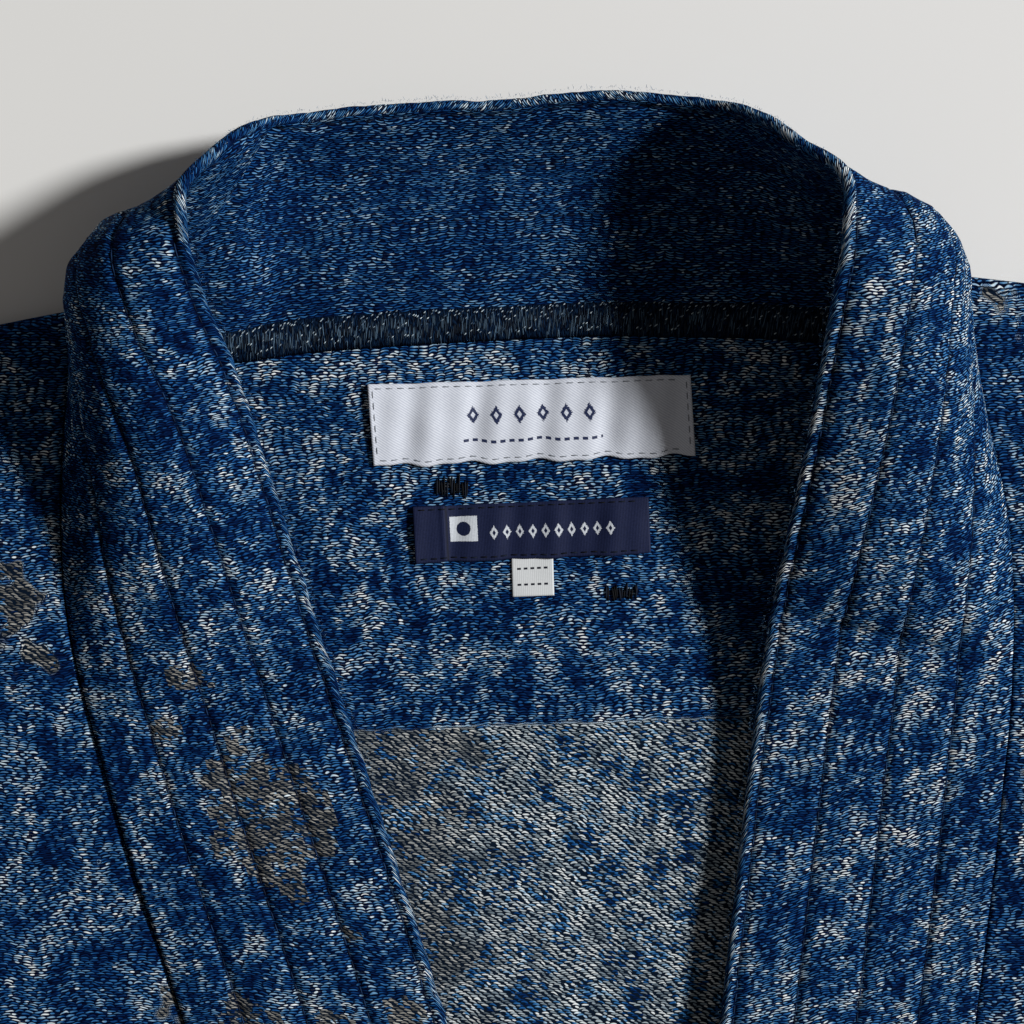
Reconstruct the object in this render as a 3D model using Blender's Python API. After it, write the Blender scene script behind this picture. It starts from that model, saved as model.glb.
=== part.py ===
# Haori shirt of indigo jacquard cloth, laid flat on its back, front side up.
# Blender 4.5, metres, +Z up.  X runs across the garment, +Y points to the neck.
# The sizes below are in millimetres in the maker's own frame, whose zero is the
# middle of the back neck seam on the table.  The finished part is moved so that its
# zero is the middle of its footprint.
import math

import bmesh
import bpy
import numpy as np

MM = 0.001

# Cloth
CLOTH = 1.5                 # one layer of the panel cloth
BAND_CLOTH = 3.0            # the collar band is folded double over its seam allowances
LABEL_CLOTH = 1.0
SEAM_GAP = 0.3              # pieces stay this far apart at a seam
LAYER = CLOTH / 2           # middle of the cloth that lies on the table

# Body
HEM_Y = -700.0              # body length below the back neck seam
SIDE_X = 288.0              # half the body's width, and the armhole seam
NECK_X = 103.0              # side neck points, at the ends of the shoulder lines
NECK_Y = 9.0
SHOULDER_SLOPE = math.tan(math.radians(7.5))
UPPER_Z = 3.3               # middle of the upper layer where it lies quietly
UNDERARM_Y = -250.0
NECK_LIFT = 0.9             # the back rises to its neck seam over the seam allowances
NECK_LIFT_RUN = 14.0
LIFT_FROM_X = 60.0          # past this the rise dies away, over LIFT_FADE
LIFT_FADE = 25.0
NECK_CLEARANCE = 0.7        # from the back's neck edge to the band's seam line
SETTLE = 60.0               # the fronts come down from the band's height over this width
FOLD_STEPS = 4              # segments round a folded edge
FOLD_STRIP = 4.0            # width of the strip that turns round the side edge
CORNER_CLEARANCE = 0.9      # more room where the turned shoulder edge passes the band
RISE_CLEARANCE = 0.25       # and where the band stands up
ARM_ROWS = (0.5, -1.5)      # the front's rows just above and below the underarm

# Places across a front, from its seam (0) to its side (1).
FRONT_ACROSS = (0.0, 0.056, 0.134, 0.222, 0.318, 0.42, 0.528, 0.64, 0.757, 0.877, 1.0)

# Columns of the back outside the neck, and its rows from the hem (0) to the top (1).
BACK_SIDES = (SIDE_X - SEAM_GAP, 240.0, 190.0, 150.0, 122.0, NECK_X + 4)
BACK_ROWS = (0.0, 0.2, 0.4, 0.6, 0.75, 0.88, 0.96, 0.985, 1.0)

# Sleeves
SLEEVE_LENGTH = 338.0
CUFF_DEPTH = 190.0
SLEEVE_UNDERARM = UNDERARM_Y + 6
SLEEVE_LOWER = 5            # points round the sleeve on its lower side
SLEEVE_UPPER = 9            # and on its upper side
SLEEVE_RINGS = 13

# Collar band
BAND_WIDTH = 59.6
BAND_REST_Z = 1.6           # middle of the band where it rests on the table
REST_SOFTNESS = 0.8         # how gently it bends up from there
BOW_SHARE = 0.375           # a shallow arc's height is its width times sqrt(this x slack)
LEAST_SLACK = 0.0006

# The band, a row for each station from the middle of the back to the hem.  The cloth
# lies between its seam line (x, y, z) and its folded free edge (x, y, z).
BAND_LEFT = (
    (0, 3, 2.0, 0, 57.3, 13),
    (-29, 2.5, 2.0, -26, 56.9, 15),
    (-53, 1.5, 2.0, -49.5, 54.8, 20),
    (-69, 0, 2.4, -61, 51.5, 29.5),
    (-82, 0, 3.2, -69, 44, 37.5),
    (-95, 3, 4.6, -74.6, 36, 43.5),
    (-103, 9, 6.5, -74.2, 25.5, 42),
    (-105.5, -3, 7.2, -71.2, 12, 35),
    (-108, -21, 6.6, -66.5, -2.5, 27),
    (-109.5, -41, 6.0, -62.5, -18, 19),
    (-109, -63, 5.6, -57.5, -38, 13.2),
    (-105, -86, 5.4, -51.5, -61, 9),
    (-99.5, -110, 5.2, -45, -84, 7.4),
    (-81, -176, 4.8, -24, -159, 6.8),
    (-70, -222, 4.6, -13, -206, 6.2),
    (-60.5, -265, 4.3, -3, -255, 5.6),
    (-54, -312, 4.1, 4.5, -306, 5.2),
    (-51.5, -366, 3.9, 7.5, -366, 4.8),
    (-51, -700, 3.6, 8, -700, 4.2),
)
BAND_RIGHT = (
    (0, 3, 2.0, 0, 57.3, 13),
    (20, 3, 2.0, 20.5, 58.3, 14),
    (44, 1.8, 2.0, 44.3, 55, 18),
    (60, 0.8, 2.2, 55.5, 50.8, 28),
    (75, -0.5, 2.8, 65.4, 41.8, 38),
    (89, 1, 3.8, 74, 33.5, 45.5),
    (103, 9, 6.5, 73, 19, 45.5),
    (105.5, -3, 7.2, 70.8, 7, 41),
    (109, -21, 6.6, 68, -10, 33.5),
    (112.5, -41, 6.0, 64.4, -29, 26.5),
    (114, -63, 5.6, 60, -50, 18.5),
    (113.5, -86, 5.4, 55.7, -70, 11.6),
    (110.5, -110, 5.2, 51.8, -93.5, 8.6),
    (100.5, -174, 4.9, 41.3, -162, 7.8),
    (93, -218, 4.6, 34, -206, 7.2),
    (84, -266, 4.3, 25, -256, 6.5),
    (77, -313, 4.1, 18, -307, 5.8),
    (74, -368, 3.9, 14.8, -366, 5.0),
    (73.5, -700, 3.6, 14.3, -700, 4.2),
)
SIDE_NECK_ROW = 6           # the row at the side neck point, where the front begins

# How many stations lie between one row of the band and the next.
BAND_STEPS = (2, 2, 2, 2, 2, 2, 3, 2, 2, 2, 2, 2, 4, 2, 2, 2, 2, 3)

# Points across the band from its seam (0) to its free edge (1), with half the
# thickness there, which rounds the folded edge.
BAND_ACROSS = (
    (0.0, 1.5), (0.12, 1.5), (0.28, 1.5), (0.46, 1.5), (0.64, 1.5),
    (0.8, 1.5), (0.92, 1.5), (0.984, 1.35), (1.0, 0.4),
)

# Soft folds of the upper layer: a ridge from A (x, y) to B (x, y), its half width and height.
FOLDS = (
    (-300, -222, -205, -95, 24, 2.9),
    (-262, -262, -170, -205, 22, 2.3),
    (-236, -330, -206, -640, 30, 2.7),
    (-128, -420, -140, -720, 26, 2.0),
    (-345, -75, -480, -150, 24, 2.8),
    (-390, -215, -560, -195, 22, 2.2),
    (-530, -90, -640, -130, 20, 2.5),
    (296, -214, 222, -82, 24, 2.9),
    (268, -270, 182, -232, 22, 2.4),
    (214, -350, 238, -660, 30, 2.8),
    (140, -470, 128, -720, 24, 1.8),
    (360, -92, 470, -168, 24, 2.9),
    (410, -200, 575, -222, 22, 2.1),
    (540, -110, 640, -118, 20, 2.4),
)

# Labels on the inside of the back: middle x, y, width, height, how far the lower edge lifts,
# the waves along it, and the columns and rows of the mesh.
LABELS = (
    ("label_main", 1.9, -18.4, 77.4, 19.0, 0.9, 3, 18, 4),
    ("label_origin", 1.0, -44.6, 57.0, 13.8, 0.6, 2, 14, 3),
    ("label_tab", 0.9, -56.6, 10.0, 9.2, 0.3, 1, 4, 3),
)

COLOURS = {
    "back": (0.035, 0.075, 0.155),
    "front_left": (0.04, 0.085, 0.17),
    "front_right": (0.038, 0.08, 0.165),
    "collar_band": (0.045, 0.1, 0.2),
    "sleeve_left": (0.04, 0.085, 0.17),
    "sleeve_right": (0.038, 0.08, 0.165),
    "label_main": (0.62, 0.64, 0.7),
    "label_origin": (0.02, 0.03, 0.075),
    "label_tab": (0.7, 0.72, 0.74),
}


def clear_scene():
    for thing in list(bpy.data.objects):
        bpy.data.objects.remove(thing, do_unlink=True)


def unit(vectors):
    length = np.linalg.norm(vectors, axis=-1, keepdims=True)
    return vectors / np.maximum(length, 1e-9)


def smooth_step(value):
    value = min(max(value, 0.0), 1.0)
    return value * value * (3 - 2 * value)


def along_rows(rows, steps):
    """Points on one smooth curve through the rows, with the row number of each."""
    table = np.array(rows, dtype=float)
    length = np.concatenate(([0.0], np.cumsum(np.linalg.norm(np.diff(table, axis=0), axis=1))))
    slope = np.gradient(table, length, axis=0)
    points, marks = [], []
    for k, count in enumerate(steps):
        span = length[k + 1] - length[k]
        for j in range(count):
            t = j / count
            a = (1 + 2 * t) * (1 - t) ** 2
            b = t * (1 - t) ** 2 * span
            c = t * t * (3 - 2 * t)
            d = t * t * (t - 1) * span
            points.append(a * table[k] + b * slope[k] + c * table[k + 1] + d * slope[k + 1])
            marks.append(k + t)
    points.append(table[-1])
    marks.append(float(len(rows) - 1))
    return np.array(points), np.array(marks)


def fold_height(x, y):
    """Height of the soft folds at a place on the upper layer."""
    total = 0.0
    for ax, ay, bx, by, half_width, height in FOLDS:
        dx, dy = bx - ax, by - ay
        t = ((x - ax) * dx + (y - ay) * dy) / (dx * dx + dy * dy)
        t = min(max(t, 0.0), 1.0)
        away = (x - ax - t * dx) ** 2 + (y - ay - t * dy) ** 2
        total += height * math.exp(-away / half_width ** 2)
    return total


def shoulder_y(x):
    """The fold line along the shoulder and the top of the sleeve."""
    return NECK_Y - (abs(x) - NECK_X) * SHOULDER_SLOPE


def turned_edge(x, y, z_top, outward, angle):
    """A point on the cloth that turns round a folded edge, from the upper layer (angle 0)
    down to the table (angle pi)."""
    radius = (z_top - LAYER) / 2
    reach = radius * math.sin(angle)
    height = LAYER + radius + radius * math.cos(angle)
    return (x + outward[0] * reach, y + outward[1] * reach, height)


def tangents(middle):
    """Directions along the first index; at both ends the bend of the cloth goes on."""
    step = unit(np.diff(middle, axis=0))
    first = 1.5 * step[:1] - 0.5 * step[1:2]
    last = 1.5 * step[-1:] - 0.5 * step[-2:-1]
    return np.concatenate((first, step[1:] + step[:-1], last))


def cloth_normals(middle, closed):
    """Normals of a grid of points; closed grids run round their first direction."""
    if closed:
        ahead = unit(np.roll(middle, -1, axis=0) - middle)
        tangent_u = ahead + np.roll(ahead, 1, axis=0)
    else:
        tangent_u = tangents(middle)
    tangent_v = np.swapaxes(tangents(np.swapaxes(middle, 0, 1)), 0, 1)
    return unit(np.cross(tangent_u, tangent_v))


def wall(name, middle, half, closed=False):
    """One closed wall of cloth round a grid of middle points; half is half its thickness."""
    middle = np.array(middle, dtype=float)
    rows, columns = middle.shape[:2]
    half = np.broadcast_to(np.array(half, dtype=float), (rows, columns))[..., None]
    normal = cloth_normals(middle, closed)
    model = bmesh.new()
    faces_of = []
    for side in (1, -1):
        points = (middle + side * half * normal) * MM
        faces_of.append([[model.verts.new(points[i, j]) for j in range(columns)] for i in range(rows)])
    outer, inner = faces_of
    last = rows if closed else rows - 1
    for i in range(last):
        k = (i + 1) % rows
        for j in range(columns - 1):
            model.faces.new((outer[i][j], outer[k][j], outer[k][j + 1], outer[i][j + 1]))
            model.faces.new((inner[i][j + 1], inner[k][j + 1], inner[k][j], inner[i][j]))
        model.faces.new((outer[k][0], outer[i][0], inner[i][0], inner[k][0]))
        model.faces.new((outer[i][-1], outer[k][-1], inner[k][-1], inner[i][-1]))
    if not closed:
        for j in range(columns - 1):
            model.faces.new((outer[0][j], outer[0][j + 1], inner[0][j + 1], inner[0][j]))
            model.faces.new((outer[-1][j + 1], outer[-1][j], inner[-1][j], inner[-1][j + 1]))
    if model.calc_volume(signed=True) < 0:
        bmesh.ops.reverse_faces(model, faces=model.faces)
    mesh = bpy.data.meshes.new(name)
    model.to_mesh(mesh)
    model.free()
    mesh.shade_smooth()
    thing = bpy.data.objects.new(name, mesh)
    bpy.context.scene.collection.objects.link(thing)
    thing.data.materials.append(cloth_material(name))
    return thing


def cloth_material(name):
    material = bpy.data.materials.new(name)
    material.use_nodes = True
    shader = material.node_tree.nodes["Principled BSDF"]
    shader.inputs["Base Color"].default_value = (*COLOURS[name], 1)
    shader.inputs["Roughness"].default_value = 0.55 if name == "label_main" else 0.85
    shader.inputs["Metallic"].default_value = 0.0
    return material


def band_rows(stations, side):
    """Points across the band at each station; side is -1 for the left half, 1 for the right."""
    seam, edge = stations[:, :3], stations[:, 3:]
    tangent = unit(np.gradient(seam, axis=0) + np.gradient(edge, axis=0)) * side
    chord = edge - seam
    width = np.linalg.norm(chord, axis=1, keepdims=True)
    outward = unit(np.cross(unit(chord), tangent))
    slack = np.maximum(BAND_WIDTH / width - 1, LEAST_SLACK)
    bow = width * np.sqrt(BOW_SHARE * slack)
    rows = []
    for across, _ in BAND_ACROSS:
        rows.append(seam + across * chord + 4 * across * (1 - across) * bow * outward)
    middle = np.stack(rows, axis=1)
    above = middle[..., 2] - BAND_REST_Z
    middle[..., 2] = BAND_REST_Z + (above + np.sqrt(above ** 2 + REST_SOFTNESS ** 2)) / 2
    return middle


def make_band(left, right):
    """The doubled collar band in one length, from the left hem round the neck to the right."""
    half = [half_thickness for _, half_thickness in BAND_ACROSS]
    middle = np.concatenate((band_rows(left, -1)[:0:-1], band_rows(right, 1)))
    gap = SEAM_GAP / 2 * unit(middle[:, 1] - middle[:, 0])
    middle[:, 0] += gap
    return wall("collar_band", middle, half), middle


def seam_clearance(middle, station):
    """How far a panel's edge stays from the seam line: the gap, and the reach of the band's
    end where the band stands up."""
    rise = unit(middle[station, 1] - middle[station, 0])
    return SEAM_GAP + (BAND_CLOTH / 2 + RISE_CLEARANCE) * abs(rise[2])


def front_panel(name, side, stations, clearance):
    """One front, from the seam with the band out to the side, turned round the shoulder and
    the side edge to meet the back."""
    seam = stations[:, :3]
    away = unit(np.gradient(seam[:, :2], axis=0)) @ np.array(((0, -1), (1, 0))) * -side
    outer_top = shoulder_y(SIDE_X)
    turn = [math.pi * k / FOLD_STEPS for k in range(1, FOLD_STEPS + 1)]
    outer_ys = HEM_Y + (seam[:, 1] - HEM_Y) / (NECK_Y - HEM_Y) * (outer_top - HEM_Y)
    lowest_arm_row = int(np.argmax(outer_ys < UNDERARM_Y)) - 1
    for step, offset in enumerate(ARM_ROWS):
        outer_ys[lowest_arm_row + step] = UNDERARM_Y + offset
    rows = []
    for k in range(len(seam) - 1, -1, -1):
        inner_x = seam[k, 0] + away[k, 0] * clearance[k]
        inner_y = seam[k, 1] + away[k, 1] * clearance[k]
        outer_y = outer_ys[k]
        below_arm = k > lowest_arm_row
        flat_x = SIDE_X if below_arm else SIDE_X - FOLD_STRIP
        row = []
        for u in FRONT_ACROSS:
            x = inner_x + u * (side * flat_x - inner_x)
            y = shoulder_y(x) if k == 0 else inner_y + u * (outer_y - inner_y)
            row.append((x, y, upper_z(x, y, seam[k, 2], u * (flat_x - abs(inner_x)))))
        for angle in turn:
            z = row[len(FRONT_ACROSS) - 1][2]
            if below_arm:
                row.append(turned_edge(side * flat_x, outer_y, z, (side, 0), angle))
            else:
                x = side * (flat_x + (FOLD_STRIP - SEAM_GAP / 2) * angle / math.pi)
                row.append((x, shoulder_y(x) if k == 0 else outer_y, z))
        rows.append(row)
    top = rows[-1]
    for angle in turn:
        rows.append([turned_edge(x, y, z, (0, 1), angle) for x, y, z in top])
    return wall(name, rows, CLOTH / 2)


def upper_z(x, y, seam_z, distance):
    """Height of the upper layer, which rises to the band near the seam."""
    quiet = UPPER_Z + fold_height(x, y)
    blend = smooth_step(distance / SETTLE)
    return seam_z * (1 - blend) + quiet * blend


def back_panel(seam_left, seam_right):
    """The back, flat on the table, with its neck edge cut to the band's seam."""
    neck = np.concatenate((seam_left[:0:-1], seam_right))
    columns = [-x for x in BACK_SIDES] + list(neck[:, 0]) + list(BACK_SIDES[::-1])
    middle = []
    for x in columns:
        if abs(x) > NECK_X - 1:
            top_y, lift = shoulder_y(x) - SEAM_GAP, 0.0
        else:
            top_y = np.interp(x, neck[:, 0], neck[:, 1]) - NECK_CLEARANCE
            lift = 1.0 - smooth_step((abs(x) - LIFT_FROM_X) / LIFT_FADE)
        column = []
        for v in BACK_ROWS:
            y = HEM_Y + v * (top_y - HEM_Y)
            rise = lift * NECK_LIFT * smooth_step((y - top_y + NECK_LIFT_RUN) / NECK_LIFT_RUN)
            column.append((x, y, LAYER + rise))
        middle.append(column)
    return wall("back", middle, CLOTH / 2)


def sleeve(name, side):
    """A sleeve as a flattened tube: the lower cloth on the table, a fold along the top, the
    upper cloth, and the underarm seam."""
    start_x = SIDE_X + SEAM_GAP / 2
    armhole = ((start_x, shoulder_y(start_x)), (start_x, SLEEVE_UNDERARM))
    tilt = math.atan(SHOULDER_SLOPE)
    end_x = start_x + SLEEVE_LENGTH * math.cos(tilt)
    cuff_top = (end_x, shoulder_y(end_x))
    cuff = (cuff_top, (end_x - CUFF_DEPTH * math.sin(tilt), cuff_top[1] - CUFF_DEPTH * math.cos(tilt)))
    turn = [math.pi * k / FOLD_STEPS for k in range(1, FOLD_STEPS)]
    rings = []
    for j in range(SLEEVE_RINGS):
        t = j / (SLEEVE_RINGS - 1)
        top = [armhole[0][k] + t * (cuff[0][k] - armhole[0][k]) for k in (0, 1)]
        bottom = [armhole[1][k] + t * (cuff[1][k] - armhole[1][k]) for k in (0, 1)]

        def place(share):
            x = top[0] + share * (bottom[0] - top[0])
            return side * x, top[1] + share * (bottom[1] - top[1])

        ring = [(*place(1 - k / (SLEEVE_LOWER - 1)), LAYER) for k in range(SLEEVE_LOWER)]
        z = UPPER_Z + fold_height(*place(0))
        ring += [turned_edge(*place(0), z, (0, 1), math.pi - angle) for angle in turn]
        for k in range(SLEEVE_UPPER):
            x, y = place(k / (SLEEVE_UPPER - 1))
            ring.append((x, y, UPPER_Z + fold_height(x, y)))
        z = UPPER_Z + fold_height(*place(1))
        ring += [turned_edge(*place(1), z, (0, -1), angle) for angle in turn]
        rings.append(ring)
    middle = np.swapaxes(np.array(rings), 0, 1)
    return wall(name, middle, CLOTH / 2, closed=True)


def label(name, x, y, width, height, lift, waves, columns, rows):
    """A label on the back panel, its lower edge lifted in soft waves."""
    base = CLOTH + SEAM_GAP + LABEL_CLOTH / 2
    middle = []
    for i in range(columns + 1):
        u = i / columns
        column = []
        for j in range(rows + 1):
            v = j / rows
            wave = 0.5 - 0.5 * math.cos(2 * math.pi * waves * u)
            z = base + lift * wave * math.sin(math.pi * (0.15 + 0.6 * (1 - v)))
            column.append((x + (u - 0.5) * width, y + (v - 0.5) * height, z))
        middle.append(column)
    return wall(name, middle, LABEL_CLOTH / 2)


def centre_on_footprint(things):
    """Moves every mesh so that the part's zero is the middle of its footprint."""
    corners = np.array([vertex.co for thing in things for vertex in thing.data.vertices])
    low, high = corners.min(axis=0), corners.max(axis=0)
    for thing in things:
        for vertex in thing.data.vertices:
            vertex.co.x -= (low[0] + high[0]) / 2
            vertex.co.y -= (low[1] + high[1]) / 2
            vertex.co.z -= low[2]


def main():
    clear_scene()
    left, left_marks = along_rows(BAND_LEFT, BAND_STEPS)
    right, right_marks = along_rows(BAND_RIGHT, BAND_STEPS)
    things = []
    band, band_middle = make_band(left, right)
    things.append(band)
    for side, name, stations, marks in (
        (-1, "front_left", left, left_marks),
        (1, "front_right", right, right_marks),
    ):
        start = int(np.searchsorted(marks, SIDE_NECK_ROW))
        centre = len(left) - 1
        numbers = [centre + side * k for k in range(start, len(stations))]
        clearance = [seam_clearance(band_middle, k) for k in numbers]
        clearance[0] += CORNER_CLEARANCE
        things.append(front_panel(name, side, stations[start:], clearance))
    start = int(np.searchsorted(left_marks, SIDE_NECK_ROW))
    things.append(back_panel(left[:start, :3], right[:start, :3]))
    things.append(sleeve("sleeve_left", -1))
    things.append(sleeve("sleeve_right", 1))
    for row in LABELS:
        things.append(label(*row))
    centre_on_footprint(things)


main()
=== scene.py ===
import math
import random

import bmesh
import bpy
import numpy as np
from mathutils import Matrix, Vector


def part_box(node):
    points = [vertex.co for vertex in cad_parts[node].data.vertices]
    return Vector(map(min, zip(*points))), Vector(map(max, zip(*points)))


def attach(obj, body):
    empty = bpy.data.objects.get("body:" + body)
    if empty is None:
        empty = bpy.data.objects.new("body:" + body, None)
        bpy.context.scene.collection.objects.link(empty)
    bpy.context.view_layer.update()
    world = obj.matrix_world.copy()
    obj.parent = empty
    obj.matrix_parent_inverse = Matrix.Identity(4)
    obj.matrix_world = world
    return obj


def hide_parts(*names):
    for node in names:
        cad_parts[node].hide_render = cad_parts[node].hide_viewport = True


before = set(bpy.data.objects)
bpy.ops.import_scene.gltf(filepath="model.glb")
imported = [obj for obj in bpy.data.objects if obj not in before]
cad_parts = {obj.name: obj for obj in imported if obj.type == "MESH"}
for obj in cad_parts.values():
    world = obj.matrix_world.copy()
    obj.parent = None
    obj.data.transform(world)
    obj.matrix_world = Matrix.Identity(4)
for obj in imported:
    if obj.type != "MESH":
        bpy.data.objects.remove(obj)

# The garment's own sizes are in millimetres from the middle of the back neck seam on the
# table: x to the right, y to the neck, z up.  "row" turns them into the frame's metres.
mm = 0.001
hemY = -700.0
neckOrigin = Vector((0.0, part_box("back")[0].y - hemY * mm, 0.0))
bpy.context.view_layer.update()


# Millimetres in the garment's own frame to metres in the frame of the model.
def row(points):
    return np.asarray(points, dtype=float) * mm + np.array(neckOrigin)


# Shader sockets as Python values

# A socket of one material; sums and products of wires add Math nodes.
class Wire:
    def __init__(self, cloth, socket):
        self.cloth = cloth
        self.socket = socket

    def maths(self, operation, *others):
        return self.cloth.node("ShaderNodeMath", {"operation": operation}, (self, *others))

    def __add__(self, other):
        return self.maths("ADD", other)

    def __radd__(self, other):
        return self.maths("ADD", other)

    def __sub__(self, other):
        return self.maths("SUBTRACT", other)

    def __rsub__(self, other):
        return self.cloth.node("ShaderNodeMath", {"operation": "SUBTRACT"}, (other, self))

    def __mul__(self, other):
        return self.maths("MULTIPLY", other)

    def __rmul__(self, other):
        return self.maths("MULTIPLY", other)

    def __truediv__(self, other):
        return self.maths("DIVIDE", other)

    def __pow__(self, other):
        return self.maths("POWER", other)

    def floor(self):
        return self.maths("FLOOR")

    def part(self):
        return self.maths("FRACT")

    def size(self):
        return self.maths("ABSOLUTE")

    def over(self, other):
        return self.maths("GREATER_THAN", other)

    def least(self, other):
        return self.maths("MINIMUM", other)

    def most(self, other):
        return self.maths("MAXIMUM", other)

    def step(self, low, high):
        settings = {"interpolation_type": "SMOOTHSTEP"}
        values = {"Value": self, "From Min": low, "From Max": high}
        return self.cloth.node("ShaderNodeMapRange", settings, values)


# One material, built up as wires into its Principled shader.
class Finish:
    def __init__(self, name, uv="cloth"):
        self.material = bpy.data.materials.new(name)
        self.material.use_nodes = True
        self.tree = self.material.node_tree
        self.shader = self.tree.nodes["Principled BSDF"]
        if uv:
            place = self.node("ShaderNodeUVMap", {"uv_map": uv})
        else:
            place = self.node("ShaderNodeTexCoord", out=3)
        self.x, self.y, _ = self.parts("ShaderNodeSeparateXYZ", place)

    def node(self, kind, settings=None, values=(), out=0):
        made = self.tree.nodes.new(kind)
        for key, value in (settings or {}).items():
            if key == "stops":
                self.setStops(made, value)
            else:
                setattr(made, key, value)
        pairs = values.items() if isinstance(values, dict) else enumerate(values)
        for key, value in pairs:
            if isinstance(value, Wire):
                self.tree.links.new(value.socket, made.inputs[key])
            elif value is not None:
                made.inputs[key].default_value = value
        return Wire(self, made.outputs[out])

    def setStops(self, ramp, stops):
        elements = ramp.color_ramp.elements
        while len(elements) < len(stops):
            elements.new(0.5)
        for element, (place, colour) in zip(elements, stops):
            element.position = place
            element.color = (*colour, 1)

    def parts(self, kind, vector):
        first = self.node(kind, None, (vector,))
        return [Wire(self, output) for output in first.socket.node.outputs]

    def join(self, x, y, z=0.0):
        return self.node("ShaderNodeCombineXYZ", None, (x, y, z))

    def ramp(self, value, stops):
        return self.node("ShaderNodeValToRGB", {"stops": stops}, (value,))

    def blend(self, share, low, high, how="MIX"):
        settings = {"data_type": "RGBA", "blend_type": how}
        values = {0: share, 6: self.colour(low), 7: self.colour(high)}
        return self.node("ShaderNodeMix", settings, values, 2)

    def colour(self, value):
        return value if isinstance(value, Wire) else (*value, 1)

    def pick(self, share, low, high):
        return self.node("ShaderNodeMix", {"data_type": "FLOAT"}, {0: share, 2: low, 3: high})

    def clouds(self, vector, scale, detail=2.0, rough=0.5):
        values = {"Vector": vector, "Scale": scale, "Detail": detail, "Roughness": rough}
        return self.node("ShaderNodeTexNoise", {"noise_dimensions": "2D"}, values)

    def chance(self, vector):
        return self.node("ShaderNodeTexWhiteNoise", {"noise_dimensions": "2D"}, (vector,))

    def chances(self, vector):
        mixed = self.node("ShaderNodeTexWhiteNoise", {"noise_dimensions": "2D"}, (vector,), 1)
        return self.parts("ShaderNodeSeparateColor", mixed)

    def dimmed(self, colour, share):
        return self.blend(1.0, colour, (share, share, share), "MULTIPLY")

    # Ends a finish; a height goes through a bump node, depth and strength are for it.
    def wear(self, colour, rough, gloss=0.5, height=None, depth=0.0, strength=0.0):
        links = self.tree.links
        links.new(colour.socket, self.shader.inputs["Base Color"])
        self.shader.inputs["Roughness"].default_value = rough
        self.shader.inputs["Specular IOR Level"].default_value = gloss
        if height is not None:
            values = {"Strength": strength, "Distance": depth, "Height": height}
            bump = self.node("ShaderNodeBump", None, values)
            links.new(bump.socket, self.shader.inputs["Normal"])
        return self.material


# Jacquard cloth: short arched weft floats in wavy rows over a dark navy ground, in mm

jacquard = dict(
    rowPitch=0.60,
    floatLength=2.30,
    twillLength=1.90,
    twillShift=0.40,        # how far a twill float moves on from row to row
    twillSlant=0.55,
    dotShare=0.80,          # above this a float is a short dot
    arch=0.28,
    halfWidth=0.315,
    evenWidth=0.275,
    twillWidth=0.39,
    lightness=0.215,        # of a float of middling lot, and how far lots differ
    lotSpread=0.44,
    rimShade=0.34,          # painted shade on a float's rim against its middle
    bluishAbove=0.83,       # share of bluish floats among the twill's
    ground=(0.0002, 0.0014, 0.0115),
    groundLight=(0.0008, 0.0085, 0.0450),
    twillGround=(0.0030, 0.0080, 0.0190),
    threads=(
        (0.00, (0.0008, 0.0060, 0.035)),
        (0.22, (0.0024, 0.0240, 0.110)),
        (0.40, (0.0095, 0.0760, 0.250)),
        (0.54, (0.0330, 0.1550, 0.380)),
        (0.66, (0.1200, 0.2900, 0.510)),
        (0.78, (0.3600, 0.5300, 0.690)),
        (0.90, (0.6800, 0.7900, 0.860)),
        (1.00, (0.8800, 0.9200, 0.930)),
    ),
    twillThreads=(
        (0.00, (0.0200, 0.0320, 0.050)),
        (0.22, (0.0850, 0.1200, 0.155)),
        (0.45, (0.2200, 0.2850, 0.335)),
        (0.70, (0.4400, 0.5100, 0.550)),
        (1.00, (0.8000, 0.8500, 0.860)),
    ),
    warmThreads=(
        (0.00, (0.0120, 0.0150, 0.019)),
        (0.30, (0.0650, 0.0700, 0.072)),
        (0.55, (0.1650, 0.1650, 0.157)),
        (0.80, (0.3300, 0.3250, 0.300)),
        (1.00, (0.5400, 0.5300, 0.490)),
    ),
)
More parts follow.
